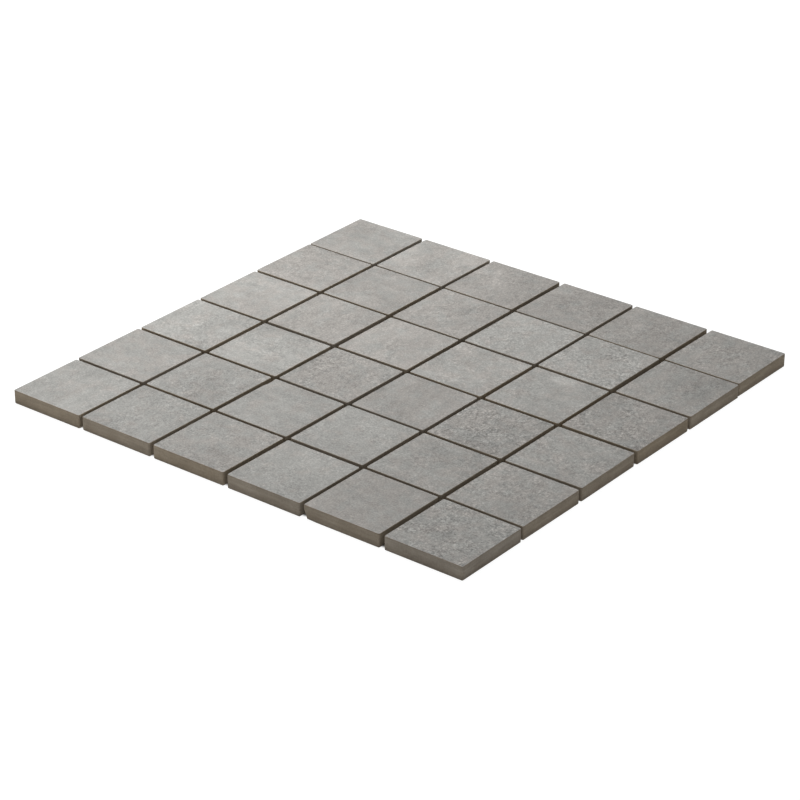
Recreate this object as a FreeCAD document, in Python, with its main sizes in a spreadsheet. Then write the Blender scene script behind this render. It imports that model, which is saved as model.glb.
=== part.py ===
import FreeCAD, Part

import math
import os
import random

import Sketcher

# Mosaic tile sheet: square porcelain chips laid in rows and columns, bonded to a woven net.
# Millimetres. The origin is under the middle of the net, +Z is up to the glazed faces, X runs
# across the columns and Y across the rows. Row 1, column 1 is the chip at -X, -Y.

SIZES = {
    # The grid of chips
    "column_count": 6,
    "row_count": 6,
    "chip_side": 48.0,
    "column_joint": 2.5,
    "row_joint": 1.8,
    # One chip, with its arrises mitred at the corners and its upright corners rounded
    "chip_thickness": 8.0,
    "face_arris": 0.4,
    "back_arris": 0.4,
    "corner_radius": 1.0,
    # The keys pressed into a chip's back for the adhesive, with solid land round and between them
    "key_width": 4.0,
    "key_depth": 0.5,
    "key_land": 4.0,
    "key_margin": 5.0,
    # How far a row may lie out of its place, and a chip out of its row, and a chip's turn in degrees
    "row_slip": 0.4,
    "chip_slip": 0.28,
    "chip_twist": 0.25,
    # The net, with the weft yarns lying on the warp yarns
    "yarn_width": 0.8,
    "yarn_thickness": 0.25,
    "mesh_opening": 4.2,
    "net_inset": 4.0,
}

# The runs of chance by which this one sheet was laid
ROW_X_SEED = 272904
ROW_Y_SEED = 216160
CHIP_X_SEED = 1703770
CHIP_Y_SEED = 2438444
TWIST_SEED = 7

# Sizes that follow from the sheet
COLUMN_PITCH = "(Sizes.chip_side + Sizes.column_joint)"
ROW_PITCH = "(Sizes.chip_side + Sizes.row_joint)"
KEY_PITCH = "(Sizes.key_width + Sizes.key_land)"
KEY_LENGTH = "(Sizes.chip_side - 2 * Sizes.key_margin)"
KEY_COUNT = f"(floor(({KEY_LENGTH} - Sizes.key_width) / {KEY_PITCH}) + 1)"
YARN_PITCH = "(Sizes.yarn_width + Sizes.mesh_opening)"
NET_X = f"(Sizes.column_count * {COLUMN_PITCH} - Sizes.column_joint - 2 * Sizes.net_inset)"
NET_Y = f"(Sizes.row_count * {ROW_PITCH} - Sizes.row_joint - 2 * Sizes.net_inset)"

doc = FreeCAD.newDocument("mosaic_tile_sheet")

sizes = doc.addObject("Spreadsheet::Sheet", "Sizes")
for line, (alias, value) in enumerate(SIZES.items(), start=1):
    sizes.set(f"A{line}", alias)
    sizes.set(f"B{line}", str(value))
    sizes.setAlias(f"B{line}", alias)
doc.recompute()


def origin_part(body, role):
    """One of the body's own origin planes or axes."""
    return next(item for item in body.Origin.OriginFeatures if item.Role == role)


def new_body(name):
    """An empty body whose label names the piece."""
    body = doc.addObject("PartDesign::Body", name)
    body.Label = name
    return body


def rectangle(body, name, plane, across, along):
    """A sketched rectangle round the middle of an origin plane, its two sides from expressions."""
    sketch = body.newObject("Sketcher::SketchObject", name)
    sketch.AttachmentSupport = [(origin_part(body, plane), "")]
    sketch.MapMode = "FlatFace"
    corners = [FreeCAD.Vector(x, y, 0) for x, y in ((-1, -1), (1, -1), (1, 1), (-1, 1))]
    low, right, high, left = [
        sketch.addGeometry(Part.LineSegment(start, end), False)
        for start, end in zip(corners, corners[1:] + corners[:1])
    ]
    for first, second in ((low, right), (right, high), (high, left), (left, low)):
        sketch.addConstraint(Sketcher.Constraint("Coincident", first, 2, second, 1))
    for line in (low, high):
        sketch.addConstraint(Sketcher.Constraint("Horizontal", line))
    for line in (left, right):
        sketch.addConstraint(Sketcher.Constraint("Vertical", line))
    sketch.addConstraint(Sketcher.Constraint("Symmetric", low, 1, right, 2, -1, 1))
    for side, kind, line, size in (
        ("across", "DistanceX", low, across),
        ("along", "DistanceY", right, along),
    ):
        number = sketch.addConstraint(Sketcher.Constraint(kind, line, 1, line, 2, 2.0))
        sketch.renameConstraint(number, side)
        sketch.setExpression(f"Constraints.{side}", size)
    return sketch


def feature(body, kind, name, **settings):
    """A feature added at the end of a body."""
    item = body.newObject(f"PartDesign::{kind}", name)
    for key, value in settings.items():
        setattr(item, key, value)
    return item


def corner_outline(body, name):
    """A sketch of what lies outside the rounding of the chip's +X +Y corner."""
    sketch = body.newObject("Sketcher::SketchObject", name)
    sketch.AttachmentSupport = [(origin_part(body, "XY_Plane"), "")]
    sketch.MapMode = "FlatFace"
    middle, start, end, tip = [
        FreeCAD.Vector(x, y, 0) for x, y in ((1, 1), (2, 1), (1, 2), (3, 3))
    ]
    circle = Part.Circle(middle, FreeCAD.Vector(0, 0, 1), 1)
    rounding = sketch.addGeometry(Part.ArcOfCircle(circle, 0, math.pi / 2), False)
    up = sketch.addGeometry(Part.LineSegment(start, tip), False)
    back = sketch.addGeometry(Part.LineSegment(tip, end), False)
    sketch.addConstraint(Sketcher.Constraint("Coincident", rounding, 1, up, 1))
    sketch.addConstraint(Sketcher.Constraint("Coincident", up, 2, back, 1))
    sketch.addConstraint(Sketcher.Constraint("Coincident", back, 2, rounding, 2))
    sketch.addConstraint(Sketcher.Constraint("Horizontal", rounding, 3, rounding, 1))
    sketch.addConstraint(Sketcher.Constraint("Vertical", rounding, 3, rounding, 2))
    radius = sketch.addConstraint(Sketcher.Constraint("Radius", rounding, 1.0))
    sketch.renameConstraint(radius, "radius")
    sketch.setExpression("Constraints.radius", "Sizes.corner_radius")
    for kind in ("DistanceX", "DistanceY"):
        for line, point, size in (
            (rounding, 3, "Sizes.chip_side / 2 - Sizes.corner_radius"),
            (up, 2, "Sizes.chip_side / 2 + Sizes.corner_radius"),
        ):
            number = sketch.addConstraint(Sketcher.Constraint(kind, -1, 1, line, point, 1.0))
            sketch.setExpression(f"Constraints[{number}]", size)
    return sketch


def row_of(body, name, original, count, pitch):
    """Copies of a feature in a row along X, which becomes the body's last feature."""
    row = feature(body, "LinearPattern", name, Originals=[original], Mode="Spacing")
    row.Direction = (origin_part(body, "X_Axis"), [""])
    row.setExpression("Occurrences", count)
    row.setExpression("Offset", pitch)
    body.Tip = row
    return row


def outer_face(item, farthest):
    """The name of a feature's highest face, found with max, or of its lowest, found with min."""
    faces = item.Shape.Faces
    number = farthest(range(len(faces)), key=lambda n: faces[n].CenterOfMass.z)
    return f"Face{number + 1}"


def make_chip(name):
    """One pressed chip: a square slab with eased corners and arrises, and keys in its back."""
    chip = new_body(name)
    outline = rectangle(chip, "Outline", "XY_Plane", "Sizes.chip_side", "Sizes.chip_side")
    slab = feature(chip, "Pad", "Slab", Profile=outline)
    slab.setExpression("Length", "Sizes.chip_thickness")
    doc.recompute()

    face = feature(chip, "Chamfer", "FaceArris", Base=(slab, [outer_face(slab, max)]))
    face.setExpression("Size", "Sizes.face_arris")
    doc.recompute()

    back = feature(chip, "Chamfer", "BackArris", Base=(face, [outer_face(face, min)]))
    back.setExpression("Size", "Sizes.back_arris")

    spandrel = corner_outline(chip, "CornerOutline")
    corner = feature(chip, "Pocket", "Corner", Profile=spandrel, Reversed=True)
    corner.setExpression("Length", "Sizes.chip_thickness")
    corners = feature(chip, "PolarPattern", "Corners", Originals=[corner], Occurrences=4)
    corners.Axis = (origin_part(chip, "Z_Axis"), [""])
    chip.Tip = corners

    section = rectangle(chip, "KeyOutline", "XY_Plane", "Sizes.key_width", KEY_LENGTH)
    section.setExpression("AttachmentOffset.Base.x", f"(1 - {KEY_COUNT}) * {KEY_PITCH} / 2")
    key = feature(chip, "Pocket", "Key", Profile=section, Reversed=True)
    key.setExpression("Length", "Sizes.key_depth")
    row_of(chip, "Keys", key, KEY_COUNT, KEY_PITCH)
    return chip


def lay(chip, column, row, row_slips, chip_slips, twist):
    """Puts a chip on the net in its place in the grid, a little out of true."""
    chip.Placement = FreeCAD.Placement(
        FreeCAD.Vector(0, 0, 0), FreeCAD.Rotation(FreeCAD.Vector(0, 0, 1), 1)
    )
    columns_over = f"({column} - (Sizes.column_count + 1) / 2)"
    rows_over = f"({row} - (Sizes.row_count + 1) / 2)"
    for axis, true_place, row_slip, chip_slip in zip(
        "xy", (f"{columns_over} * {COLUMN_PITCH}", f"{rows_over} * {ROW_PITCH}"),
        row_slips, chip_slips,
    ):
        slip = f"({row_slip:.3f}) * Sizes.row_slip + ({chip_slip:.3f}) * Sizes.chip_slip"
        chip.setExpression(f"Placement.Base.{axis}", f"{true_place} + {slip}")
    chip.setExpression("Placement.Base.z", "2 * Sizes.yarn_thickness")
    chip.setExpression("Placement.Rotation.Angle", f"({twist:.3f}) * Sizes.chip_twist")


def make_yarns(name, turn, across, along, level):
    """One set of the net's yarns, all parallel, with one through the middle of the sheet."""
    reach = f"floor(({across} - Sizes.yarn_width) / {YARN_PITCH} / 2)"
    yarns = new_body(name)
    section = rectangle(yarns, "Section", "XZ_Plane", "Sizes.yarn_width", "Sizes.yarn_thickness")
    section.setExpression("AttachmentOffset.Base.x", f"-{reach} * {YARN_PITCH}")
    section.setExpression("AttachmentOffset.Base.y", "Sizes.yarn_thickness / 2")
    yarn = feature(yarns, "Pad", "Yarn", Profile=section, SideType="Symmetric")
    yarn.setExpression("Length", along)
    row_of(yarns, "Yarns", yarn, f"2 * {reach} + 1", YARN_PITCH)
    yarns.Placement = FreeCAD.Placement(
        FreeCAD.Vector(0, 0, 0), FreeCAD.Rotation(FreeCAD.Vector(0, 0, 1), turn)
    )
    yarns.setExpression("Placement.Base.z", level)
    return yarns


def chance(seed):
    """Numbers from -1 to 1, the same run of them for the same seed."""
    run = random.Random(seed)
    while True:
        yield 2 * run.random() - 1


pieces = [
    make_yarns("net_warp_yarns", 0, NET_X, NET_Y, "0"),
    make_yarns("net_weft_yarns", 90, NET_Y, NET_X, "Sizes.yarn_thickness"),
]

row_chances = zip(chance(ROW_X_SEED), chance(ROW_Y_SEED))
chip_chances = zip(chance(CHIP_X_SEED), chance(CHIP_Y_SEED))
twists = chance(TWIST_SEED)
for row in range(1, int(sizes.row_count) + 1):
    row_slips = next(row_chances)
    for column in range(1, int(sizes.column_count) + 1):
        chip = make_chip(f"chip_r{row}_c{column}")
        lay(chip, column, row, row_slips, next(chip_chances), next(twists))
        pieces.append(chip)

doc.recompute()

for item in doc.Objects:
    if "Invalid" in item.State or "Error" in item.State:
        raise RuntimeError(f"{item.Label} failed: {item.State}")
for piece in pieces:
    if piece.Shape.isNull() or not piece.Shape.isValid():
        raise RuntimeError(f"{piece.Label} has no valid shape")

os.makedirs("parts", exist_ok=True)
for piece in pieces:
    piece.Shape.exportStep(os.path.join("parts", f"{piece.Label}.step"))
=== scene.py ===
import math
import random

import bpy
from mathutils import Matrix, Vector


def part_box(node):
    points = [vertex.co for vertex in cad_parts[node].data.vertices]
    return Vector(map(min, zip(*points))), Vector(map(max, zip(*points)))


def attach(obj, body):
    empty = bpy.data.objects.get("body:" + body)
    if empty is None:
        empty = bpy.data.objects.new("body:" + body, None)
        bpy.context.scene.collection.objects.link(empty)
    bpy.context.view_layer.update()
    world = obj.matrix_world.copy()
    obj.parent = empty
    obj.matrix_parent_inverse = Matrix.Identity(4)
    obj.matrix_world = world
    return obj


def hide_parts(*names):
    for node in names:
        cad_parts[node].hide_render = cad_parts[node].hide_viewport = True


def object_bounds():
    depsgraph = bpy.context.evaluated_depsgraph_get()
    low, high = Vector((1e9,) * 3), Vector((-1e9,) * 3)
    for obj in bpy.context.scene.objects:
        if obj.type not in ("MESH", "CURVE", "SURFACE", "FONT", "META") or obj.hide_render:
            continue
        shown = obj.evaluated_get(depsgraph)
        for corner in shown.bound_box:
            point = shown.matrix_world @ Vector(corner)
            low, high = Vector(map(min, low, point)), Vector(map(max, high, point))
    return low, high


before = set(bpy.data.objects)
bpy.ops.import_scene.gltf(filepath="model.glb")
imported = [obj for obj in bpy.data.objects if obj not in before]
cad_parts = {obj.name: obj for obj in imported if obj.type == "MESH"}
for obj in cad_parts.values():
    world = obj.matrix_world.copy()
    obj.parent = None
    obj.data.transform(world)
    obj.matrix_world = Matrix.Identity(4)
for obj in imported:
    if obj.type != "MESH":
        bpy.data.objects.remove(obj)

# Mosaic tile sheet: thirty-six printed and glazed porcelain chips on a woven glass-fibre net.
# Metres, in the frame of the solids: the net's underside is at z = 0 and the glazed faces look up.

cad_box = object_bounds()

MM = 0.001
GRID = 6

# One chip. Its place, turn, side and thickness are read from its solid.
FACE_ARRIS = 0.4 * MM
BACK_ARRIS = 0.4 * MM
CORNER_RADIUS = 1.0 * MM
KEY_WIDTH = 4.0 * MM
KEY_LENGTH = 38.0 * MM
KEY_DEPTH = 0.5 * MM
KEY_PITCH = 8.0 * MM
KEY_COUNT = 5
KEY_DRAFT = 0.25 * MM
FACE_RELIEF = 0.07 * MM
RELIEF_SPACING = 9.0 * MM
NICK_WIDTH = 0.6 * MM
NICK_SPACING = 6.0 * MM
POINTS_ACROSS = 65
POINTS_UP = 5
SHARP_BEND = math.radians(30)
SAME_POINT = 0.001 * MM

# The net: leno weave, in which each warp yarn is a pair that twists round the straight weft yarns
MESH_PITCH = 5.0 * MM
NET_THICKNESS = 0.5 * MM
YARN_THICKNESS = 0.17 * MM
WARP_YARN_WIDTH = 0.45 * MM
WEFT_YARN_WIDTH = 0.85 * MM
WARP_SWAY = 0.2 * MM
NET_WAVINESS = 0.5 * MM
NET_WAVE_LENGTH = 35.0 * MM
FILAMENT_SPACING = 0.15 * MM

# How the chips differ: the parts of the printed slab that they were cut from, and how strong
# the speckle and the clouds are there
SANDY = {"r5_c5", "r3_c5", "r1_c6", "r4_c6"}
SLIGHTLY_SANDY = {"r3_c3", "r5_c4", "r2_c6", "r3_c6", "r6_c6"}
CLOUDED = {"r3_c2", "r4_c1", "r6_c3", "r5_c6", "r3_c1", "r6_c2"}
SMOOTH = {"r3_c4", "r1_c1", "r1_c5", "r2_c3", "r2_c1", "r5_c2", "r6_c1", "r4_c1"}
TONE_SEED = 663276
WARMTH_SEED = 340091
FIRING_SEED = 2049815
PRINT_SEED = 4
PRINTED_SLAB = 1.2
LEAST_TONE, MOST_TONE = 0.92, 1.08
SANDY_SPECKLE, SLIGHT_SPECKLE, PLAIN_SPECKLE, SMOOTH_SPECKLE = 1.0, 0.7, 0.5, 0.3
STRONG_CLOUDS, PLAIN_CLOUDS = 1.0, 0.5

# The one large flake, on the -X edge of a chip in the second row
FLAKED_CHIP = "r2_c3"
FLAKE_PLACE = (-24.0 * MM, 18.5 * MM, 0.0)
FLAKE_LENGTH = 9.0 * MM
FLAKE_WIDTH = 0.8 * MM
FLAKE_SLOPE = 0.9

# The one broken foot, under the front left corner of a chip in the first row
BROKEN_CHIP = "r1_c5"
BREAK_PLACE = (-24.0 * MM, -24.0 * MM, 0.0)
BREAK_REACH = 8.0 * MM
BREAK_SHIFT = (2.6 * MM, 0.3 * MM, 0.0)

# Pale marks on the glaze: place on the chip, turn, half length, half width and strength
MARKS = {
    "r4_c5": ((-1.0 * MM, 19.0 * MM, 0.0), 0.0, 9.0 * MM, 4.5 * MM, 0.2),
    "r6_c3": ((-8.0 * MM, 5.0 * MM, 0.0), math.radians(-62), 15.0 * MM, 2.0 * MM, 0.10),
    "r6_c6": ((15.5 * MM, -6.0 * MM, 0.0), math.radians(-72), 8.0 * MM, 0.7 * MM, 0.16),
    "r5_c3": ((8.0 * MM, -2.0 * MM, 0.0), math.radians(48), 17.0 * MM, 2.5 * MM, 0.09),
}
NO_MARK = ((0.0, 0.0, 0.0), 0.0, MM, MM, 0.0)


def colour(hex_code):
    """An sRGB hex colour as a linear colour with full alpha."""
    channels = [int(hex_code[i:i + 2], 16) / 255 for i in (1, 3, 5)]
    return tuple(
        c / 12.92 if c <= 0.04045 else ((c + 0.055) / 1.055) ** 2.4 for c in channels
    ) + (1.0,)


def node(tree, kind, inputs=None, **settings):
    """Adds a node with its settings and links, and gives its first output that is in use.

    An input is named, or numbered where names repeat, and gets a value, the output that feeds
    it, or a list of outputs."""
    new = tree.nodes.new(kind)
    for name, value in settings.items():
        setattr(new, name, value)
    for name, value in (inputs or {}).items():
        if isinstance(name, int):
            socket = new.inputs[name]
        else:
            socket = next(s for s in new.inputs if s.name == name and s.enabled)
        feeds = value if isinstance(value, list) else [value]
        for feed in feeds:
            if isinstance(feed, bpy.types.NodeSocket):
                tree.links.new(feed, socket)
            else:
                socket.default_value = feed
    return next((s for s in new.outputs if s.enabled), None)


def new_tree(name, inputs):
    """An empty geometry tree with named inputs, and the sockets that give their values."""
    tree = bpy.data.node_groups.new(name, "GeometryNodeTree")
    for label, (kind, value) in inputs.items():
        socket = tree.interface.new_socket(label, in_out="INPUT", socket_type=f"NodeSocket{kind}")
        socket.default_value = value
    tree.interface.new_socket("Geometry", in_out="OUTPUT", socket_type="NodeSocketGeometry")
    return tree, tree.nodes.new("NodeGroupInput").outputs


def grow(name, tree, values):
    """Runs a tree with these values, and keeps what it makes as a plain mesh."""
    piece = bpy.data.objects.new(name, bpy.data.meshes.new(name))
    bpy.context.scene.collection.objects.link(piece)
    modifier = piece.modifiers.new("make", "NODES")
    modifier.node_group = tree
    for item in tree.interface.items_tree:
        if item.in_out == "INPUT" and item.name in values:
            modifier[item.identifier] = values[item.name]
    depsgraph = bpy.context.evaluated_depsgraph_get()
    mesh = bpy.data.meshes.new_from_object(piece.evaluated_get(depsgraph))
    piece.modifiers.remove(modifier)
    piece.data = mesh
    mesh.name = name
    return piece


def new_material(name, constants):
    """A material and its Principled shader, with the constants set on the shader's own sockets."""
    material = bpy.data.materials.new(name)
    material.use_nodes = True
    shader = material.node_tree.nodes["Principled BSDF"]
    for label, value in constants.items():
        shader.inputs[label].default_value = value
    return material, material.node_tree, shader


# Matt concrete-look glaze: a mineral glaze printed with grey clouds and fired unpolished.
# It gives the eye fine dusty concrete: soft clouds, patches of coarser speckle, hardly any shine.
# The speckle is drawn coarser than the real grit of about 0.3 mm, so that it shows.
def concrete_glaze():
    material, tree, shader = new_material("matt_concrete_look_glaze", {"IOR": 1.5})
    read = {}
    for name in ("print_place", "print_tone", "print_warmth", "print_coarse", "print_cloud",
                 "mark_place", "mark_strength", "rim", "flake"):
        outputs = node(tree, "ShaderNodeAttribute", attribute_name=name).node.outputs
        read[name] = outputs["Vector" if name.endswith("_place") else "Fac"]

    # Drawn out sideways, as a trowel leaves it
    drawn_out = node(tree, "ShaderNodeVectorMath", {
        0: read["print_place"], 1: (0.15, 1.0, 1.0),
    }, operation="MULTIPLY")

    # Name, size of its blots in mm, detail, roughness
    layers = {}
    for name, size, detail, rough in (
        ("hue", 70, 2, 0.5),
        ("clouds", 30, 4, 0.5),
        ("patches", 14, 2, 0.5),
        ("blush", 9, 3, 0.6),
        ("mottle", 6, 4, 0.6),
        ("speck", 1.8, 2, 0.65),
        ("grain", 0.9, 2, 0.7),
        ("sweep", 5, 3, 0.5),
        ("vein", 24, 4, 0.55),
    ):
        layers[name] = node(tree, "ShaderNodeTexNoise", {
            "Vector": drawn_out if name == "sweep" else read["print_place"],
            "Scale": 1 / (size * MM), "Detail": detail, "Roughness": rough,
        })

    # The pale specks stand out more than the dark ones
    for name in ("speck", "grain"):
        layers[name] = node(tree, "ShaderNodeMath", {0: layers[name], 1: 2.0},
                            operation="POWER")

    # The hue goes from a cool grey to a warm one, by the chip and within it
    warmth = read["print_warmth"]
    for name, swing in (("hue", 0.2), ("blush", 0.75)):
        part = node(tree, "ShaderNodeMapRange", {
            "Value": layers[name], "From Min": 0.35, "From Max": 0.65,
            "To Min": -swing, "To Max": swing,
        }, clamp=False)
        warmth = node(tree, "ShaderNodeMath", {0: warmth, 1: part}, operation="ADD")
    ground = node(tree, "ShaderNodeMix", {
        "Factor": warmth, "A": colour("#A3A29E"), "B": colour("#A6A29D"),
    }, data_type="RGBA")

    # The tone is a sum of the chip's own and of each layer's swing to either side of nothing
    tone = read["print_tone"]
    cloudy = node(tree, "ShaderNodeMapRange", {
        "Value": layers["clouds"], "From Min": 0.3, "From Max": 0.7,
        "To Min": -0.16, "To Max": 0.16,
    }, clamp=False)
    tone = node(tree, "ShaderNodeMath", {0: cloudy, 1: read["print_cloud"], 2: tone},
                operation="MULTIPLY_ADD")
    for name, least, most, swing in (
        ("mottle", 0.3, 0.7, 0.085), ("grain", 0.07, 0.47, 0.18), ("sweep", 0.3, 0.7, 0.05),
    ):
        part = node(tree, "ShaderNodeMapRange", {
            "Value": layers[name], "From Min": least, "From Max": most,
            "To Min": -swing, "To Max": swing,
        }, clamp=False)
        tone = node(tree, "ShaderNodeMath", {0: tone, 1: part}, operation="ADD")

    # Sandy speckle, stronger in patches
    where = node(tree, "ShaderNodeMapRange", {
        "Value": layers["patches"], "From Min": 0.38, "From Max": 0.62,
        "To Min": 0.4, "To Max": 1.0,
    })
    sand = node(tree, "ShaderNodeMath", {0: where, 1: read["print_coarse"]},
                operation="MULTIPLY")
    dots = node(tree, "ShaderNodeMapRange", {
        "Value": layers["speck"], "From Min": 0.12, "From Max": 0.42,
        "To Min": -0.25, "To Max": 0.36,
    }, clamp=False)
    tone = node(tree, "ShaderNodeMath", {0: dots, 1: sand, 2: tone}, operation="MULTIPLY_ADD")

    # Pale hairlines, where one of the layers passes through its middle
    off_vein = node(tree, "ShaderNodeMath", {0: layers["vein"], 1: 0.5}, operation="SUBTRACT")
    off_vein = node(tree, "ShaderNodeMath", {0: off_vein}, operation="ABSOLUTE")
    vein = node(tree, "ShaderNodeMapRange", {
        "Value": off_vein, "From Min": 0.0, "From Max": 0.012, "To Min": 0.09, "To Max": 0.0,
    })
    seldom = node(tree, "ShaderNodeMapRange", {
        "Value": layers["patches"], "From Min": 0.55, "From Max": 0.66,
    })
    tone = node(tree, "ShaderNodeMath", {0: vein, 1: seldom, 2: tone}, operation="MULTIPLY_ADD")

    # The chip's own pale mark, with a ragged edge
    ragged = node(tree, "ShaderNodeVectorMath", {0: (1, 1, 0), "Scale": layers["mottle"]},
                  operation="SCALE")
    off_mark = node(tree, "ShaderNodeVectorMath", {0: read["mark_place"], 1: ragged},
                    operation="ADD")
    off_mark = node(tree, "ShaderNodeVectorMath", {0: off_mark, 1: (-0.5, -0.5, 0)},
                    operation="ADD")
    off_mark = node(tree, "ShaderNodeVectorMath", {0: off_mark},
                    operation="LENGTH").node.outputs["Value"]
    mark = node(tree, "ShaderNodeMapRange", {
        "Value": off_mark, "From Min": 0.55, "From Max": 1.05, "To Min": 1.0, "To Max": 0.0,
    })
    tone = node(tree, "ShaderNodeMath", {0: mark, 1: read["mark_strength"], 2: tone},
                operation="MULTIPLY_ADD")

    # The face is paler along the rim, a painted highlight on the arris, and the glaze is gone from
    # the flakes
    painted_rim_highlight = node(tree, "ShaderNodeMapRange", {
        "Value": read["rim"], "From Min": 0.2 * MM, "From Max": 0.9 * MM,
        "To Min": 0.06, "To Max": 0.0,
    })
    tone = node(tree, "ShaderNodeMath", {0: tone, 1: painted_rim_highlight}, operation="ADD")
    face = node(tree, "ShaderNodeVectorMath", {0: ground, "Scale": tone}, operation="SCALE")
    chipped = node(tree, "ShaderNodeMix", {
        "Factor": read["flake"], "A": face, "B": colour("#C4BDB2"),
    }, data_type="RGBA")
    tree.links.new(chipped, shader.inputs["Base Color"])

    dull = node(tree, "ShaderNodeMapRange", {
        "Value": layers["mottle"], "From Min": 0.3, "From Max": 0.7,
        "To Min": 0.58, "To Max": 0.72,
    })
    tree.links.new(dull, shader.inputs["Roughness"])
    height = node(tree, "ShaderNodeMath", {
        0: layers["speck"], 1: sand, 2: layers["grain"],
    }, operation="MULTIPLY_ADD")
    bump = node(tree, "ShaderNodeBump", {
        "Height": height, "Strength": 0.4, "Distance": 0.06 * MM,
    })
    tree.links.new(bump, shader.inputs["Normal"])
    return material


# Vitrified porcelain body: pressed clay and feldspar dust, fired dense, bare on sides and back.
# It gives the eye a dull warm grey-brown, with fine grit and level bands, a darker line under the
# glaze, a darker foot that is partly the body's own browner colour and partly painted shade of the
# low light next to the floor, and on the back pale kiln wash and shiny smears of the net's glue.
# The grit, about 0.2 mm in the real body, is drawn coarser, so that it shows.
def porcelain_body():
    material, tree, shader = new_material("vitrified_porcelain_body", {"IOR": 1.5})
    place = node(tree, "ShaderNodeAttribute", attribute_name="print_place").node.outputs["Vector"]
    below = node(tree, "ShaderNodeAttribute", attribute_name="below_glaze").node.outputs["Fac"]
    browned = node(tree, "ShaderNodeAttribute", attribute_name="browned").node.outputs["Fac"]
    height = node(tree, "ShaderNodeSeparateXYZ", {"Vector": place}).node.outputs["Z"]

    # Drawn out level, as the layers of the pressing lie
    level = node(tree, "ShaderNodeVectorMath", {0: place, 1: (0.07, 0.07, 1.0)},
                 operation="MULTIPLY")

    # Name, size of its blots in mm, detail
    layers = {}
    for name, size, detail in (
        ("stain", 12, 3), ("bands", 1.6, 3), ("glue", 7, 3), ("grit", 0.9, 3),
    ):
        layers[name] = node(tree, "ShaderNodeTexNoise", {
            "Vector": level if name == "bands" else place,
            "Scale": 1 / (size * MM), "Detail": detail, "Roughness": 0.6,
        })

    fired = node(tree, "ShaderNodeMix", {
        "Factor": layers["stain"], "A": colour("#877B69"), "B": colour("#A29685"),
    }, data_type="RGBA")
    # Some chips came out of the kiln greyer, and some browner
    browning = node(tree, "ShaderNodeMapRange", {
        "Value": browned, "To Min": 0.7, "To Max": 1.13,
    })
    fired = node(tree, "ShaderNodeHueSaturation", {"Saturation": browning, "Color": fired})
    under_glaze = node(tree, "ShaderNodeMapRange", {
        "Value": below, "From Min": 0.0, "From Max": 0.6 * MM,
        "To Min": 0.2, "To Max": 0.0,
    })
    lined = node(tree, "ShaderNodeMix", {
        "Factor": under_glaze, "A": fired, "B": colour("#6E6254"),
    }, data_type="RGBA")
    # The darker foot is partly the body's own browner colour and partly painted shade near the
    # floor
    ragged = node(tree, "ShaderNodeMath", {0: layers["stain"], 1: 3 * MM, 2: height},
                  operation="MULTIPLY_ADD")
    foot_tint_and_painted_shade = node(tree, "ShaderNodeMapRange", {
        "Value": ragged, "From Min": 2.2 * MM, "From Max": 6.0 * MM,
        "To Min": 0.48, "To Max": 0.0,
    })
    foot_tinted_and_shaded = node(tree, "ShaderNodeMix", {
        "Factor": foot_tint_and_painted_shade, "A": lined, "B": colour("#64584A"),
    }, data_type="RGBA")
    washed = node(tree, "ShaderNodeMapRange", {
        "Value": height, "From Min": 0.05 * MM, "From Max": 0.2 * MM,
        "To Min": 0.55, "To Max": 0.0,
    })
    wash = node(tree, "ShaderNodeMix", {
        "Factor": washed, "A": foot_tinted_and_shaded, "B": colour("#B9B2A6"),
    }, data_type="RGBA")
    swing = 1.0
    for name, least, most in (("grit", -0.11, 0.11), ("bands", -0.12, 0.12)):
        part = node(tree, "ShaderNodeMapRange", {
            "Value": layers[name], "From Min": 0.3, "From Max": 0.7,
            "To Min": least, "To Max": most,
        }, clamp=False)
        swing = node(tree, "ShaderNodeMath", {0: part, 1: swing}, operation="ADD")
    base = node(tree, "ShaderNodeVectorMath", {0: wash, "Scale": swing}, operation="SCALE")
    tree.links.new(base, shader.inputs["Base Color"])

    glued = node(tree, "ShaderNodeMapRange", {
        "Value": layers["glue"], "From Min": 0.5, "From Max": 0.56,
    })
    smear = node(tree, "ShaderNodeMath", {0: glued, 1: washed}, operation="MULTIPLY")
    rough = node(tree, "ShaderNodeMapRange", {
        "Value": smear, "From Min": 0.0, "From Max": 0.5, "To Min": 0.85, "To Max": 0.4,
    })
    tree.links.new(rough, shader.inputs["Roughness"])
    bump = node(tree, "ShaderNodeBump", {
        "Height": layers["grit"], "Strength": 0.5, "Distance": 0.05 * MM,
    })
    tree.links.new(bump, shader.inputs["Normal"])
    return material


# Glass-fibre yarn: bundles of fine glass filaments, sized with resin so that the net stays open.
# It gives the eye a white, faintly glossy thread with filaments along it. They are about
# 0.01 mm thick in the real yarn, and drawn 0.15 mm apart, so that they show.
def glass_yarn():
    material, tree, shader = new_material("sized_glass_fibre_yarn", {"IOR": 1.52})
    place = node(tree, "ShaderNodeAttribute", attribute_name="yarn_place").node.outputs["Vector"]
    fibres = node(tree, "ShaderNodeTexNoise", {
        "Vector": place, "Scale": 1 / FILAMENT_SPACING, "Detail": 2.0, "Roughness": 0.6,
    })
    white = node(tree, "ShaderNodeMix", {
        "Factor": fibres, "A": colour("#C6C2B6"), "B": colour("#EFEDE6"),
    }, data_type="RGBA")
    tree.links.new(white, shader.inputs["Base Color"])
    gloss = node(tree, "ShaderNodeMapRange", {
        "Value": fibres, "From Min": 0.3, "From Max": 0.7, "To Min": 0.55, "To Max": 0.38,
    })
    tree.links.new(gloss, shader.inputs["Roughness"])
    bump = node(tree, "ShaderNodeBump", {
        "Height": fibres, "Strength": 0.4, "Distance": 0.03 * MM,
    })
    tree.links.new(bump, shader.inputs["Normal"])
    return material


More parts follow.
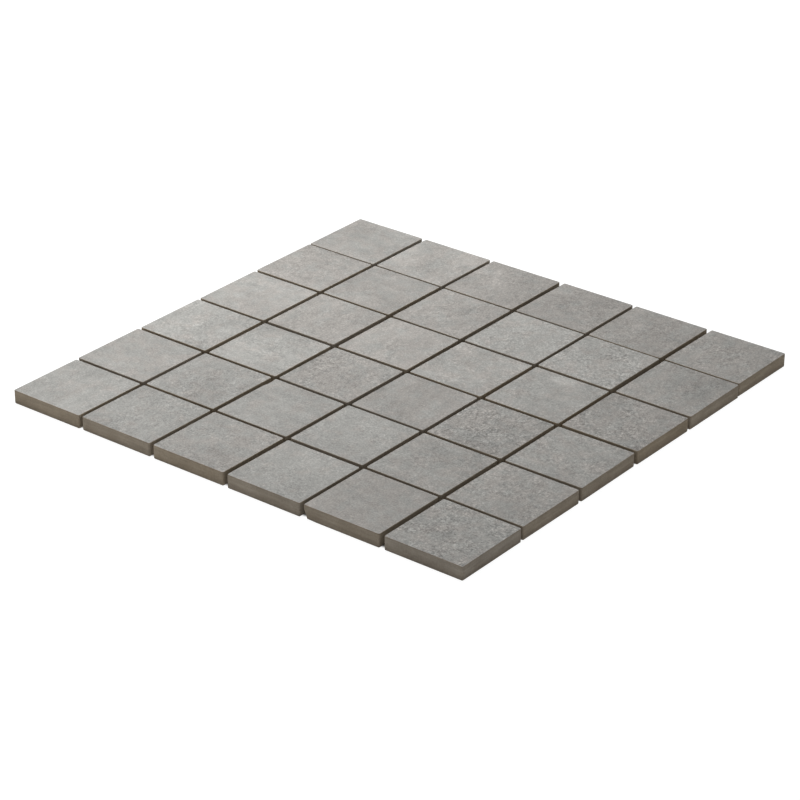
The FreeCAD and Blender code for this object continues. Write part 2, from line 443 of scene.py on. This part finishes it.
def pressed_chip(body, glaze):
    """The tree that makes one chip, from a square shell of rows and columns of quads."""
    tree, given = new_tree("pressed_chip", {
        "Side": ("Float", 48.0 * MM),
        "Thickness": ("Float", 8.0 * MM),
        "Face Arris": ("Float", FACE_ARRIS),
        "Back Arris": ("Float", BACK_ARRIS),
        "Corner Radius": ("Float", CORNER_RADIUS),
        "Key Width": ("Float", KEY_WIDTH),
        "Key Length": ("Float", KEY_LENGTH),
        "Key Depth": ("Float", KEY_DEPTH),
        "Key Draft": ("Float", KEY_DRAFT),
        "Key Pitch": ("Float", KEY_PITCH),
        "Key Count": ("Int", KEY_COUNT),
        "Relief": ("Float", FACE_RELIEF),
        "Columns": ("Int", POINTS_ACROSS),
        "Rows": ("Int", POINTS_UP),
        "Nick Width": ("Float", NICK_WIDTH),
        "Flake Place": ("Vector", FLAKE_PLACE),
        "Flake Length": ("Float", FLAKE_LENGTH),
        "Flake Width": ("Float", 0.0),
        "Break Place": ("Vector", BREAK_PLACE),
        "Break Reach": ("Float", BREAK_REACH),
        "Break Shift": ("Vector", (0, 0, 0)),
        "Place": ("Vector", (0, 0, 0)),
        "Turn": ("Vector", (0, 0, 0)),
        "Print Place": ("Vector", (0, 0, 0)),
        "Print Turn": ("Float", 0),
        "Print Tone": ("Float", 1.0),
        "Print Warmth": ("Float", 0.5),
        "Print Coarse": ("Float", 0.5),
        "Print Cloud": ("Float", 0.5),
        "Mark Place": ("Vector", (0, 0, 0)),
        "Mark Turn": ("Float", 0),
        "Mark Half Length": ("Float", MM),
        "Mark Half Width": ("Float", MM),
        "Mark Strength": ("Float", 0),
        "Browned": ("Float", 0.5),
        "Seed": ("Int", 0),
    })

    # A cube of quads from -1 to 1, open at the back
    cube = node(tree, "GeometryNodeMeshCube", {
        "Size": (2, 2, 2), "Vertices X": given["Columns"], "Vertices Y": given["Columns"],
        "Vertices Z": given["Rows"],
    })
    normal = node(tree, "GeometryNodeInputNormal")
    looks = node(tree, "ShaderNodeSeparateXYZ", {"Vector": normal}).node.outputs["Z"]
    looks_down = node(tree, "FunctionNodeCompare", {"A": looks, "B": -0.5},
                      operation="LESS_THAN", data_type="FLOAT")
    shell = node(tree, "GeometryNodeDeleteGeometry", {
        "Geometry": cube, "Selection": looks_down,
    }, domain="FACE", mode="ALL")

    # Rows and columns drawn close together near the edges: 1 - (1 - x)^2 on each side of the
    # middle
    position = node(tree, "GeometryNodeInputPosition")
    part = node(tree, "ShaderNodeSeparateXYZ", {"Vector": position}).node.outputs
    level = part["Z"]
    flat = node(tree, "ShaderNodeCombineXYZ", {"X": part["X"], "Y": part["Y"]})
    size = node(tree, "ShaderNodeVectorMath", {0: flat}, operation="ABSOLUTE")
    room = node(tree, "ShaderNodeVectorMath", {0: (1, 1, 0), 1: size}, operation="SUBTRACT")
    room = node(tree, "ShaderNodeVectorMath", {0: room, 1: room}, operation="MULTIPLY")
    size = node(tree, "ShaderNodeVectorMath", {0: (1, 1, 0), 1: room}, operation="SUBTRACT")
    side = node(tree, "ShaderNodeVectorMath", {0: flat}, operation="SIGN")
    square = node(tree, "ShaderNodeVectorMath", {0: size, 1: side}, operation="MULTIPLY")
    half = node(tree, "ShaderNodeMath", {0: given["Side"], 1: 0.5}, operation="MULTIPLY")
    square = node(tree, "ShaderNodeVectorMath", {0: square, "Scale": half}, operation="SCALE")

    # The corners of each ring of quads are bent round the corner radius
    inner = node(tree, "ShaderNodeMath", {0: half, 1: given["Corner Radius"]},
                 operation="SUBTRACT")
    far = node(tree, "ShaderNodeCombineXYZ", {"X": inner, "Y": inner})
    near = node(tree, "ShaderNodeVectorMath", {0: far, "Scale": -1}, operation="SCALE")
    held = node(tree, "ShaderNodeVectorMath", {0: square, 1: far}, operation="MINIMUM")
    held = node(tree, "ShaderNodeVectorMath", {0: held, 1: near}, operation="MAXIMUM")
    reach = node(tree, "ShaderNodeVectorMath", {0: square, 1: held}, operation="SUBTRACT")
    length = node(tree, "ShaderNodeVectorMath", {0: reach},
                  operation="LENGTH").node.outputs["Value"]
    across = node(tree, "ShaderNodeVectorMath", {0: reach}, operation="ABSOLUTE")
    across = node(tree, "ShaderNodeSeparateXYZ", {"Vector": across}).node.outputs
    widest = node(tree, "ShaderNodeMath", {0: across["X"], 1: across["Y"]}, operation="MAXIMUM")
    shrink = node(tree, "ShaderNodeMath", {0: widest, 1: length}, operation="DIVIDE")
    reach = node(tree, "ShaderNodeVectorMath", {0: reach, "Scale": shrink}, operation="SCALE")
    outward = node(tree, "ShaderNodeVectorMath", {0: reach}, operation="NORMALIZE")
    plan = node(tree, "ShaderNodeVectorMath", {0: held, 1: reach}, operation="ADD")
    rim = node(tree, "ShaderNodeMath", {0: given["Corner Radius"], 1: widest},
               operation="SUBTRACT")

    # Flakes off the rim: small ones where a noise along the rim is high, and the large one
    to_rim = node(tree, "ShaderNodeVectorMath", {0: outward, "Scale": rim}, operation="SCALE")
    on_rim = node(tree, "ShaderNodeVectorMath", {0: plan, 1: to_rim}, operation="ADD")
    nicks = node(tree, "ShaderNodeTexNoise", {
        "Vector": on_rim, "W": given["Seed"], "Scale": 1 / NICK_SPACING, "Detail": 1.0,
    }, noise_dimensions="4D")
    nicked = node(tree, "ShaderNodeMapRange", {
        "Value": nicks, "From Min": 0.68, "From Max": 0.85,
        "To Min": 0.0, "To Max": given["Nick Width"],
    })
    span = node(tree, "ShaderNodeVectorMath", {0: on_rim, 1: given["Flake Place"]},
                operation="DISTANCE")
    span = node(tree, "ShaderNodeMath", {0: span, 1: given["Flake Length"]}, operation="DIVIDE")
    span = node(tree, "ShaderNodeMath", {0: span, 1: 2.0}, operation="MULTIPLY")
    span = node(tree, "ShaderNodeMath", {0: span, 1: span}, operation="MULTIPLY")
    bite = node(tree, "ShaderNodeMath", {0: 1.0, 1: span}, operation="SUBTRACT", use_clamp=True)
    bite = node(tree, "ShaderNodeMath", {0: bite}, operation="SQRT")
    bite = node(tree, "ShaderNodeMath", {0: bite, 1: given["Flake Width"]}, operation="MULTIPLY")
    wide = node(tree, "ShaderNodeMath", {0: bite, 1: nicked}, operation="MAXIMUM")
    lost = node(tree, "ShaderNodeMath", {0: wide, 1: rim}, operation="SUBTRACT")
    lost = node(tree, "ShaderNodeMath", {0: lost, 1: 0.0}, operation="MAXIMUM")
    flake = node(tree, "ShaderNodeMapRange", {
        "Value": lost, "From Min": 0.0, "From Max": 0.12 * MM,
    })

    # The sides: the lowest row is the back arris, and the others go up to the face arris
    inset = node(tree, "ShaderNodeMapRange", {
        "Value": level, "From Min": -1.0, "From Max": -0.5,
        "To Min": given["Back Arris"], "To Max": 0.0,
    })
    inward = node(tree, "ShaderNodeMath", {0: inset, 1: -1}, operation="MULTIPLY")
    step = node(tree, "ShaderNodeVectorMath", {0: outward, "Scale": inward}, operation="SCALE")
    plan = node(tree, "ShaderNodeVectorMath", {0: plan, 1: step}, operation="ADD")
    arris_rise = node(tree, "ShaderNodeMath", {0: given["Back Arris"], 1: inset},
                      operation="SUBTRACT")
    upright = node(tree, "ShaderNodeMath", {0: given["Thickness"], 1: given["Back Arris"]},
                   operation="SUBTRACT")
    upright = node(tree, "ShaderNodeMath", {0: upright, 1: given["Face Arris"]},
                   operation="SUBTRACT")
    wall_rise = node(tree, "ShaderNodeMapRange", {
        "Value": level, "From Min": -0.5, "From Max": 1.0, "To Min": 0.0, "To Max": upright,
    })
    wall_height = node(tree, "ShaderNodeMath", {0: arris_rise, 1: wall_rise}, operation="ADD")

    # A broken foot: near its place the wall leans in, most at the bottom
    off_break = node(tree, "ShaderNodeVectorMath", {0: plan, 1: given["Break Place"]},
                     operation="DISTANCE")
    broken = node(tree, "ShaderNodeMapRange", {
        "Value": off_break, "From Min": 0.0, "From Max": given["Break Reach"],
        "To Min": 1.0, "To Max": 0.0,
    })
    lean = node(tree, "ShaderNodeMapRange", {
        "Value": level, "From Min": -1.0, "From Max": 0.5, "To Min": 1.0, "To Max": 0.0,
    })
    lean = node(tree, "ShaderNodeMath", {0: broken, 1: lean}, operation="MULTIPLY")
    lean = node(tree, "ShaderNodeVectorMath", {0: given["Break Shift"], "Scale": lean},
                operation="SCALE")
    plan = node(tree, "ShaderNodeVectorMath", {0: plan, 1: lean}, operation="ADD")

    # The face: a quarter round along the rim, and a slight unevenness all over
    turn = node(tree, "ShaderNodeMapRange", {
        "Value": rim, "From Min": 0.0, "From Max": given["Face Arris"],
        "To Min": 1.0, "To Max": 0.0,
    })
    turn = node(tree, "ShaderNodeMath", {0: turn, 1: turn}, operation="MULTIPLY")
    turn = node(tree, "ShaderNodeMath", {0: 1.0, 1: turn}, operation="SUBTRACT")
    turn = node(tree, "ShaderNodeMath", {0: turn}, operation="SQRT")
    drop = node(tree, "ShaderNodeMath", {0: 1.0, 1: turn}, operation="SUBTRACT")
    drop = node(tree, "ShaderNodeMath", {0: drop, 1: given["Face Arris"]}, operation="MULTIPLY")
    uneven = node(tree, "ShaderNodeTexNoise", {
        "Vector": plan, "W": given["Seed"], "Scale": 1 / RELIEF_SPACING, "Detail": 2.0,
    }, noise_dimensions="4D")
    uneven = node(tree, "ShaderNodeMath", {0: uneven, 1: 1.0}, operation="SUBTRACT")
    top = node(tree, "ShaderNodeMath", {0: given["Thickness"], 1: drop}, operation="SUBTRACT")
    top = node(tree, "ShaderNodeMath", {0: uneven, 1: given["Relief"], 2: top},
               operation="MULTIPLY_ADD")
    top = node(tree, "ShaderNodeMath", {0: lost, 1: -FLAKE_SLOPE, 2: top},
               operation="MULTIPLY_ADD")
    is_face = node(tree, "FunctionNodeCompare", {"A": level, "B": 0.99},
                   operation="GREATER_THAN", data_type="FLOAT")
    height = node(tree, "GeometryNodeSwitch", {
        "Switch": is_face, "False": wall_height, "True": top,
    }, input_type="FLOAT")
    plan = node(tree, "ShaderNodeSeparateXYZ", {"Vector": plan}).node.outputs
    settled = node(tree, "ShaderNodeCombineXYZ", {"X": plan["X"], "Y": plan["Y"], "Z": height})
    for name, value in (("rim", rim), ("flake", flake)):
        shell = node(tree, "GeometryNodeStoreNamedAttribute", {
            "Geometry": shell, "Name": name, "Value": value,
        }, data_type="FLOAT", domain="POINT")
    shell = node(tree, "GeometryNodeSetPosition", {"Geometry": shell, "Position": settled})

    # The back, with a hole for each key, and the keys' own walls
    faces_met = node(tree, "GeometryNodeInputMeshEdgeNeighbors")
    is_open = node(tree, "FunctionNodeCompare", {2: faces_met, 3: 1},
                   operation="EQUAL", data_type="INT")
    loop = node(tree, "GeometryNodeMeshToCurve", {"Mesh": shell, "Selection": is_open})
    gaps = node(tree, "ShaderNodeMath", {0: given["Key Count"], 1: 1}, operation="SUBTRACT")
    run = node(tree, "ShaderNodeMath", {0: gaps, 1: given["Key Pitch"]}, operation="MULTIPLY")
    start = node(tree, "ShaderNodeMath", {0: run, 1: -0.5}, operation="MULTIPLY")
    start = node(tree, "ShaderNodeCombineXYZ", {"X": start})
    stride = node(tree, "ShaderNodeCombineXYZ", {"X": given["Key Pitch"]})
    row = node(tree, "GeometryNodeMeshLine", {
        "Count": given["Key Count"], "Start Location": start, "Offset": stride,
    })
    mouth = node(tree, "GeometryNodeCurvePrimitiveQuadrilateral", {
        "Width": given["Key Width"], "Height": given["Key Length"],
    })
    mouths = node(tree, "GeometryNodeInstanceOnPoints", {"Points": row, "Instance": mouth})
    mouths = node(tree, "GeometryNodeRealizeInstances", {"Geometry": mouths})
    outlines = node(tree, "GeometryNodeJoinGeometry", {"Geometry": [loop, mouths]})
    back = node(tree, "GeometryNodeFillCurve", {"Curve": outlines}, mode="NGONS")
    back = node(tree, "GeometryNodeFlipFaces", {"Mesh": back})

    key_size = node(tree, "ShaderNodeCombineXYZ", {
        "X": given["Key Width"], "Y": given["Key Length"], "Z": given["Key Depth"],
    })
    key = node(tree, "GeometryNodeMeshCube", {"Size": key_size})
    key = node(tree, "GeometryNodeDeleteGeometry", {
        "Geometry": key, "Selection": looks_down,
    }, domain="FACE", mode="ALL")
    deep = node(tree, "FunctionNodeCompare", {"A": level, "B": 0.0},
                operation="GREATER_THAN", data_type="FLOAT")
    draft = node(tree, "ShaderNodeMath", {0: given["Key Draft"], 1: -1}, operation="MULTIPLY")
    pull = node(tree, "ShaderNodeVectorMath", {0: side, "Scale": draft}, operation="SCALE")
    key = node(tree, "GeometryNodeSetPosition", {
        "Geometry": key, "Selection": deep, "Offset": pull,
    })
    lift = node(tree, "ShaderNodeMath", {0: given["Key Depth"], 1: 0.5}, operation="MULTIPLY")
    lift = node(tree, "ShaderNodeCombineXYZ", {"Z": lift})
    key = node(tree, "GeometryNodeSetPosition", {"Geometry": key, "Offset": lift})
    key = node(tree, "GeometryNodeFlipFaces", {"Mesh": key})
    keys = node(tree, "GeometryNodeInstanceOnPoints", {"Points": row, "Instance": key})
    keys = node(tree, "GeometryNodeRealizeInstances", {"Geometry": keys})
    chip = node(tree, "GeometryNodeJoinGeometry", {"Geometry": [shell, back, keys]})
    chip = node(tree, "GeometryNodeMergeByDistance", {"Geometry": chip, "Distance": SAME_POINT})

    # Where each point lies on the large slab that the print was made for, how its mark lies, and
    # how far it is below the foot of the face arris
    turned = node(tree, "ShaderNodeVectorRotate", {
        "Vector": position, "Angle": given["Print Turn"],
    }, rotation_type="Z_AXIS")
    printed = node(tree, "ShaderNodeVectorMath", {0: turned, 1: given["Print Place"]},
                   operation="ADD")
    off_mark = node(tree, "ShaderNodeVectorMath", {0: position, 1: given["Mark Place"]},
                    operation="SUBTRACT")
    mark_turn = node(tree, "ShaderNodeMath", {0: given["Mark Turn"], 1: -1},
                     operation="MULTIPLY")
    off_mark = node(tree, "ShaderNodeVectorRotate", {
        "Vector": off_mark, "Angle": mark_turn,
    }, rotation_type="Z_AXIS")
    mark_size = node(tree, "ShaderNodeCombineXYZ", {
        "X": given["Mark Half Length"], "Y": given["Mark Half Width"], "Z": 1.0,
    })
    mark_place = node(tree, "ShaderNodeVectorMath", {0: off_mark, 1: mark_size},
                      operation="DIVIDE")
    glaze_foot = node(tree, "ShaderNodeMath", {0: given["Thickness"], 1: given["Face Arris"]},
                      operation="SUBTRACT")
    below_glaze = node(tree, "ShaderNodeMath", {0: glaze_foot, 1: level}, operation="SUBTRACT")
    for name, value, kind in (
        ("print_place", printed, "FLOAT_VECTOR"),
        ("print_tone", given["Print Tone"], "FLOAT"),
        ("print_warmth", given["Print Warmth"], "FLOAT"),
        ("print_coarse", given["Print Coarse"], "FLOAT"),
        ("print_cloud", given["Print Cloud"], "FLOAT"),
        ("mark_place", mark_place, "FLOAT_VECTOR"),
        ("mark_strength", given["Mark Strength"], "FLOAT"),
        ("browned", given["Browned"], "FLOAT"),
        ("below_glaze", below_glaze, "FLOAT"),
    ):
        chip = node(tree, "GeometryNodeStoreNamedAttribute", {
            "Geometry": chip, "Name": name, "Value": value,
        }, data_type=kind, domain="POINT")

    # The glaze covers the face, up to where the arris was ground off it
    chip = node(tree, "GeometryNodeSetMaterial", {"Geometry": chip, "Material": body})
    is_glazed = node(tree, "FunctionNodeCompare", {"A": looks, "B": 0.85},
                     operation="GREATER_THAN", data_type="FLOAT")
    chip = node(tree, "GeometryNodeSetMaterial", {
        "Geometry": chip, "Selection": is_glazed, "Material": glaze,
    })

    chip = node(tree, "GeometryNodeSetShadeSmooth", {"Geometry": chip, "Shade Smooth": True},
                domain="FACE")
    bend = node(tree, "GeometryNodeInputMeshEdgeAngle")
    is_sharp = node(tree, "FunctionNodeCompare", {"A": bend, "B": SHARP_BEND},
                    operation="GREATER_THAN", data_type="FLOAT")
    chip = node(tree, "GeometryNodeSetShadeSmooth", {
        "Geometry": chip, "Selection": is_sharp, "Shade Smooth": False,
    }, domain="EDGE")
    chip = node(tree, "GeometryNodeTransform", {
        "Geometry": chip, "Translation": given["Place"], "Rotation": given["Turn"],
    })
    node(tree, "NodeGroupOutput", {"Geometry": chip})
    return tree


def woven_yarns(material):
    """The tree that makes one set of yarns, all alike, which run along X, spaced along Y."""
    tree, given = new_tree("woven_yarns", {
        "Yarn Count": ("Int", 57),
        "Yarn Pitch": ("Float", MESH_PITCH),
        "Weave Pitch": ("Float", MESH_PITCH),
        "Point Count": ("Int", 231),
        "Point Step": ("Float", MESH_PITCH / 4),
        "Width": ("Float", WARP_YARN_WIDTH),
        "Thickness": ("Float", YARN_THICKNESS),
        "Height": ("Float", NET_THICKNESS / 2),
        "Sway": ("Float", WARP_SWAY),
        "Rise": ("Float", (NET_THICKNESS - YARN_THICKNESS) / 2),
        "Turn": ("Vector", (0, 0, 0)),
        "Waviness": ("Float", NET_WAVINESS),
    })

    # The run of one yarn: it sways once in two meshes and rises and falls once in each
    gaps = node(tree, "ShaderNodeMath", {0: given["Point Count"], 1: 1}, operation="SUBTRACT")
    start = node(tree, "ShaderNodeMath", {0: gaps, 1: given["Point Step"]}, operation="MULTIPLY")
    start = node(tree, "ShaderNodeMath", {0: start, 1: -0.5}, operation="MULTIPLY")
    start = node(tree, "ShaderNodeCombineXYZ", {"X": start})
    step = node(tree, "ShaderNodeCombineXYZ", {"X": given["Point Step"]})
    run = node(tree, "GeometryNodeMeshLine", {
        "Count": given["Point Count"], "Start Location": start, "Offset": step,
    })
    position = node(tree, "GeometryNodeInputPosition")
    along = node(tree, "ShaderNodeSeparateXYZ", {"Vector": position})
    phase = node(tree, "ShaderNodeMath", {0: along, 1: given["Weave Pitch"]}, operation="DIVIDE")
    half_turn = node(tree, "ShaderNodeMath", {0: phase, 1: math.pi}, operation="MULTIPLY")
    sway = node(tree, "ShaderNodeMath", {0: half_turn}, operation="COSINE")
    sway = node(tree, "ShaderNodeMath", {0: sway, 1: given["Sway"]}, operation="MULTIPLY")
    full_turn = node(tree, "ShaderNodeMath", {0: half_turn, 1: 2.0}, operation="MULTIPLY")
    rise = node(tree, "ShaderNodeMath", {0: full_turn}, operation="COSINE")
    rise = node(tree, "ShaderNodeMath", {0: rise, 1: given["Rise"], 2: given["Height"]},
                operation="MULTIPLY_ADD")
    woven = node(tree, "ShaderNodeCombineXYZ", {"Y": sway, "Z": rise})
    run = node(tree, "GeometryNodeSetPosition", {"Geometry": run, "Offset": woven})
    run = node(tree, "GeometryNodeMeshToCurve", {"Mesh": run})
    run = node(tree, "GeometryNodeSetCurveNormal", {"Curve": run}, mode="Z_UP")
    section = node(tree, "GeometryNodeCurvePrimitiveQuadrilateral", {
        "Width": given["Width"], "Height": given["Thickness"],
    })
    yarn = node(tree, "GeometryNodeCurveToMesh", {
        "Curve": run, "Profile Curve": section, "Fill Caps": True,
    })

    # All the yarns, side by side, and a little wavy as the net was laid
    gaps = node(tree, "ShaderNodeMath", {0: given["Yarn Count"], 1: 1}, operation="SUBTRACT")
    first = node(tree, "ShaderNodeMath", {0: gaps, 1: given["Yarn Pitch"]}, operation="MULTIPLY")
    first = node(tree, "ShaderNodeMath", {0: first, 1: -0.5}, operation="MULTIPLY")
    first = node(tree, "ShaderNodeCombineXYZ", {"Y": first})
    aside = node(tree, "ShaderNodeCombineXYZ", {"Y": given["Yarn Pitch"]})
    places = node(tree, "GeometryNodeMeshLine", {
        "Count": given["Yarn Count"], "Start Location": first, "Offset": aside,
    })
    yarns = node(tree, "GeometryNodeInstanceOnPoints", {"Points": places, "Instance": yarn})
    yarns = node(tree, "GeometryNodeRealizeInstances", {"Geometry": yarns})
    drawn_out = node(tree, "ShaderNodeVectorMath", {0: position, 1: (0.08, 1.0, 1.0)},
                     operation="MULTIPLY")
    yarns = node(tree, "GeometryNodeStoreNamedAttribute", {
        "Geometry": yarns, "Name": "yarn_place", "Value": drawn_out,
    }, data_type="FLOAT_VECTOR", domain="POINT")
    yarns = node(tree, "GeometryNodeTransform", {"Geometry": yarns, "Rotation": given["Turn"]})
    plan = node(tree, "ShaderNodeVectorMath", {0: position, 1: (1, 1, 0)}, operation="MULTIPLY")
    wave = node(tree, "ShaderNodeTexNoise", {
        "Vector": plan, "Scale": 1 / NET_WAVE_LENGTH, "Detail": 1.0,
    }).node.outputs["Color"]
    wave = node(tree, "ShaderNodeVectorMath", {0: wave, 1: (0.5, 0.5, 0.5)},
                operation="SUBTRACT")
    wave = node(tree, "ShaderNodeVectorMath", {0: wave, 1: (1, 1, 0)}, operation="MULTIPLY")
    wave = node(tree, "ShaderNodeVectorMath", {0: wave, "Scale": given["Waviness"]},
                operation="SCALE")
    yarns = node(tree, "GeometryNodeSetPosition", {"Geometry": yarns, "Offset": wave})
    yarns = node(tree, "GeometryNodeSetMaterial", {"Geometry": yarns, "Material": material})
    node(tree, "NodeGroupOutput", {"Geometry": yarns})
    return tree


def read_solid(name):
    """How a chip lies, from its solid: the middle of its back, its turn, side and thickness."""
    low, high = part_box(name)
    middle = (low + high) / 2
    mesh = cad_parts[name].data
    sides = [face for face in mesh.polygons if abs(face.normal.z) < 0.01]
    normal = max(sides, key=lambda face: face.area).normal
    quarter = math.pi / 2
    turn = (math.atan2(normal.y, normal.x) + quarter / 2) % quarter - quarter / 2
    across = [vertex.co.dot(normal) for vertex in mesh.vertices]
    return {
        "Place": Vector((middle.x, middle.y, low.z)),
        "Turn": Vector((0, 0, turn)),
        "Side": max(across) - min(across),
        "Thickness": high.z - low.z,
    }


glazed = concrete_glaze()
bare = porcelain_body()
yarn = glass_yarn()

# Each chip was cut from its own place on the printed slab, and laid any way round
tones = random.Random(TONE_SEED)
warmths = random.Random(WARMTH_SEED)
firing = random.Random(FIRING_SEED)
printing = random.Random(PRINT_SEED)
chip_maker = pressed_chip(bare, glazed)
for row in range(1, GRID + 1):
    for column in range(1, GRID + 1):
        label = f"r{row}_c{column}"
        values = read_solid(f"chip_{label}")
        values["Print Place"] = Vector((
            printing.uniform(0, PRINTED_SLAB), printing.uniform(0, PRINTED_SLAB), 0,
        ))
        values["Print Turn"] = printing.randrange(4) * math.pi / 2
        values["Print Tone"] = tones.uniform(LEAST_TONE, MOST_TONE)
        values["Print Warmth"] = warmths.uniform(0.0, 1.0)
        values["Browned"] = firing.uniform(0.0, 1.0)
        values["Print Coarse"] = (
            SANDY_SPECKLE if label in SANDY else SLIGHT_SPECKLE if label in SLIGHTLY_SANDY
            else SMOOTH_SPECKLE if label in SMOOTH else PLAIN_SPECKLE
        )
        values["Print Cloud"] = STRONG_CLOUDS if label in CLOUDED else PLAIN_CLOUDS
        values["Seed"] = printing.randrange(1000)
        values["Flake Width"] = FLAKE_WIDTH if label == FLAKED_CHIP else 0.0
        values["Break Shift"] = Vector(BREAK_SHIFT) if label == BROKEN_CHIP else Vector()
        place, turn, half_length, half_width, strength = MARKS.get(label, NO_MARK)
        values["Mark Place"] = Vector(place)
        values["Mark Turn"] = turn
        values["Mark Half Length"] = half_length
        values["Mark Half Width"] = half_width
        values["Mark Strength"] = strength
        chip = grow(f"tile_{label}", chip_maker, values)
        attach(chip, "root")
        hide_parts(f"chip_{label}")

# The net: a pair of yarns for each warp yarn, which pass each other, and straight weft yarns.
# Name, solid, the side that the yarn starts on, its width, its points in each mesh
rise = (NET_THICKNESS - YARN_THICKNESS) / 2
yarn_maker = woven_yarns(yarn)
for name, solid, side, width, steps in (
    ("warp_ground_yarns", "net_warp_yarns", -1, WARP_YARN_WIDTH, 4),
    ("warp_doup_yarns", "net_warp_yarns", 1, WARP_YARN_WIDTH, 4),
    ("weft_yarns", "net_weft_yarns", 0, WEFT_YARN_WIDTH, 2),
):
    low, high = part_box(solid)
    size = high - low
    length, spread = (size.x, size.y) if side == 0 else (size.y, size.x)
    step = MESH_PITCH / steps
    yarns = grow(name, yarn_maker, {
        "Yarn Count": 2 * int(spread / MESH_PITCH / 2) + 1,
        "Point Count": 2 * int(length / step / 2) + 1,
        "Point Step": step,
        "Width": width,
        "Sway": side * WARP_SWAY,
        "Rise": side * rise,
        "Turn": Vector((0, 0, 0 if side == 0 else math.pi / 2)),
    })
    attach(yarns, "root")
    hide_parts(solid)


# White studio floor: smooth painted board, which the camera sees as white with a faint soft
# shadow, and unlit under the sheet, in the joints
FLOOR_REACH = 20.0
UNLIT_INSET = 3.0 * MM
UNLIT_BLUR = 1.0 * MM
UNDER_SHEET = (cad_box[1] - cad_box[0]) / 2 - Vector((UNLIT_INSET, UNLIT_INSET, 0))
floor_board, tree, shader = new_material("white_painted_board", {
    "Roughness": 0.9, "Emission Color": colour("#FFFFFF"),
})
path = node(tree, "ShaderNodeLightPath").node.outputs
seen = node(tree, "ShaderNodeMath", {
    0: path["Is Camera Ray"], 1: path["Is Glossy Ray"],
}, operation="MAXIMUM")
seen = node(tree, "ShaderNodeMath", {0: seen, 1: path["Is Transmission Ray"]},
            operation="MAXIMUM")
spot = node(tree, "ShaderNodeTexCoord").node.outputs["Object"]
spot = node(tree, "ShaderNodeVectorMath", {0: spot}, operation="ABSOLUTE")
spot = node(tree, "ShaderNodeVectorMath", {0: spot, 1: UNDER_SHEET}, operation="SUBTRACT")
spot = node(tree, "ShaderNodeSeparateXYZ", {"Vector": spot}).node.outputs
outside = node(tree, "ShaderNodeMath", {0: spot["X"], 1: spot["Y"]}, operation="MAXIMUM")
outside = node(tree, "ShaderNodeMapRange", {
    "Value": outside, "From Min": -UNLIT_BLUR, "From Max": UNLIT_BLUR,
})
seen = node(tree, "ShaderNodeMath", {0: seen, 1: outside}, operation="MULTIPLY")
painted = node(tree, "ShaderNodeMix", {
    "Factor": seen, "A": colour("#EDEDED"), "B": colour("#7C7C7C"),
}, data_type="RGBA")
tree.links.new(painted, shader.inputs["Base Color"])
glow = node(tree, "ShaderNodeMath", {0: seen, 1: 0.95}, operation="MULTIPLY")
tree.links.new(glow, shader.inputs["Emission Strength"])
floor_mesh = bpy.data.meshes.new("studio_floor")
floor_mesh.from_pydata(
    [(x, y, 0) for x, y in ((-FLOOR_REACH, -FLOOR_REACH), (FLOOR_REACH, -FLOOR_REACH),
                            (FLOOR_REACH, FLOOR_REACH), (-FLOOR_REACH, FLOOR_REACH))],
    [], [(0, 1, 2, 3)],
)
floor = bpy.data.objects.new("studio_floor", floor_mesh)
floor_mesh.materials.append(floor_board)
bpy.context.scene.collection.objects.link(floor)

# The camera, from the lines of the joints in the photograph
CAMERA_PLACE = Vector((0.8357, -1.0798, 0.6859))
CAMERA_FORWARD = Vector((-0.5470, 0.7036, -0.4536)).normalized()
CAMERA_UP = Vector((-0.2829, 0.3546, 0.8912))
CAMERA_LENS = 126.29
SENSOR_WIDTH = 36.0
NEAREST_SEEN = 0.05
camera = bpy.data.objects.new("camera", bpy.data.cameras.new("camera"))
bpy.context.scene.collection.objects.link(camera)
bpy.context.scene.camera = camera
camera_right = CAMERA_FORWARD.cross(CAMERA_UP).normalized()
camera_up = camera_right.cross(CAMERA_FORWARD)
camera.matrix_world = Matrix.Translation(CAMERA_PLACE) @ Matrix(
    (camera_right, camera_up, -CAMERA_FORWARD)
).transposed().to_4x4()
camera.data.lens = CAMERA_LENS
camera.data.sensor_width = SENSOR_WIDTH
camera.data.clip_start = NEAREST_SEEN

# The world fills the shadows, a broad lamp overhead is turned to the -X side, so that the light
# falls off from there across the sheet, and two weak ones light the edges in sight
WORLD_LIGHT = 0.25
world = bpy.data.worlds.new("studio")
bpy.context.scene.world = world
world.use_nodes = True
background = world.node_tree.nodes["Background"]
background.inputs["Color"].default_value = colour("#FFFFFF")
background.inputs["Strength"].default_value = WORLD_LIGHT

# Name, place, the spot it looks at, side in metres, power in watts
for name, place, aim, size, power in (
    ("softbox", (-0.12, 0.06, 0.9), (-1.36, 0.04, 0), 0.35, 11.85),
    ("front_fill", (-0.30, -0.90, 0.35), (0, 0, 0), 0.5, 0.52),
    ("side_fill", (0.90, -0.10, 0.30), (0, 0, 0), 0.5, 0.14),
):
    lamp = bpy.data.lights.new(name, "AREA")
    lamp.shape = "SQUARE"
    lamp.size = size
    lamp.energy = power
    lamp_object = bpy.data.objects.new(name, lamp)
    bpy.context.scene.collection.objects.link(lamp_object)
    lamp_object.location = place
    lamp_object.rotation_mode = "QUATERNION"
    lamp_object.rotation_quaternion = (Vector(aim) - Vector(place)).to_track_quat("-Z", "Y")

bpy.context.scene.view_settings.view_transform = "Standard"
